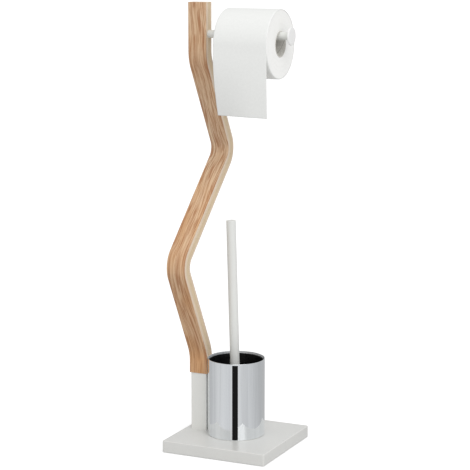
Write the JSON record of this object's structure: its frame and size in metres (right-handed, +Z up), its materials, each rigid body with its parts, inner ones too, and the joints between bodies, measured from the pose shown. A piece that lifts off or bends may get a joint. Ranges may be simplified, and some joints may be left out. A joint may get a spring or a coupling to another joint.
{
  "type": "toilet brush holder",
  "caption": "Free-standing bathroom stand: square board, bent laminated wood post, side arm with a paper roll, and a round polished cup with its brush.",
  "frame": {"origin": "on the floor, under the middle of the base board", "axes": "+Z up, -Y towards the user, +X from the post towards the cup and along the roll arm"},
  "size_m": [0.188, 0.1841, 0.728],
  "materials": {
    "white_lacquer": "satin white lacquer on board",
    "foot_lacquer": "satin white lacquer on wood",
    "oak_veneer": "matte oiled oak face veneer",
    "laminated_core": "matte sanded laminated core, light plies",
    "beech_dowel": "plain",
    "white_powder_coat": "satin white powder coat",
    "zinc_steel": "zinc-plated",
    "brass_insert": "turned",
    "polished_steel": "polished",
    "plain_steel": "plain sheet",
    "black_trim": "satin black",
    "black_liner": "smooth black",
    "black_head": "moulded black",
    "black_bristle": "fine plastic bristles",
    "white_handle": "smooth white",
    "natural_plastic": "moulded natural white",
    "grey_foam": "closed-cell foam",
    "tissue": "soft embossed tissue",
    "core_board": "grey board"
  },
  "bodies": {
    "stand": {"base_board": "white_lacquer", "base_pads": "grey_foam", "post_foot": "foot_lacquer", "foot_screws": "zinc_steel", "post_dowels": "beech_dowel", "post_front_veneer": "oak_veneer", "post_core": "laminated_core", "post_back_veneer": "oak_veneer", "arm_insert": "brass_insert", "arm_stud": "zinc_steel", "arm_rod": "white_powder_coat", "arm_plug": "zinc_steel", "arm_end_disc": "white_powder_coat"},
    "cup": {"cup_sleeve": "polished_steel", "cup_strip": "black_trim", "cup_floor_plate": "plain_steel", "cup_pad": "grey_foam"},
    "liner": {"cup_liner": "black_liner"},
    "brush": {"brush_bristles": "black_bristle", "brush_head_core": "black_head", "brush_link": "zinc_steel", "brush_handle_plug": "natural_plastic", "brush_handle": "white_handle", "brush_handle_cap": "white_handle"},
    "sheet": {"hanging_sheet": "tissue"},
    "roll": {"paper_roll": "tissue", "roll_core": "core_board"}
  },
  "joints": [
    {"name": "cup_lift", "type": "slide", "parent": "stand", "child": "cup", "axis": [0, 0, 1], "range_m": [0, 0.05]},
    {"name": "liner_lift", "type": "slide", "parent": "cup", "child": "liner", "axis": [0, 0, 1], "range_m": [0, 0.04]},
    {"name": "brush_lift", "type": "slide", "parent": "liner", "child": "brush", "axis": [-0.0297, 0, 0.9996], "range_m": [0, 0.13]},
    {"name": "roll_slide", "type": "slide", "parent": "stand", "child": "sheet", "axis": [1, 0, 0], "range_m": [-0.033, 0.016]},
    {"name": "roll_spin", "type": "hinge", "parent": "sheet", "child": "roll", "pos_m": [0.0312, 0, 0.6643], "axis": [1, 0, 0], "continuous": true}
  ]
}
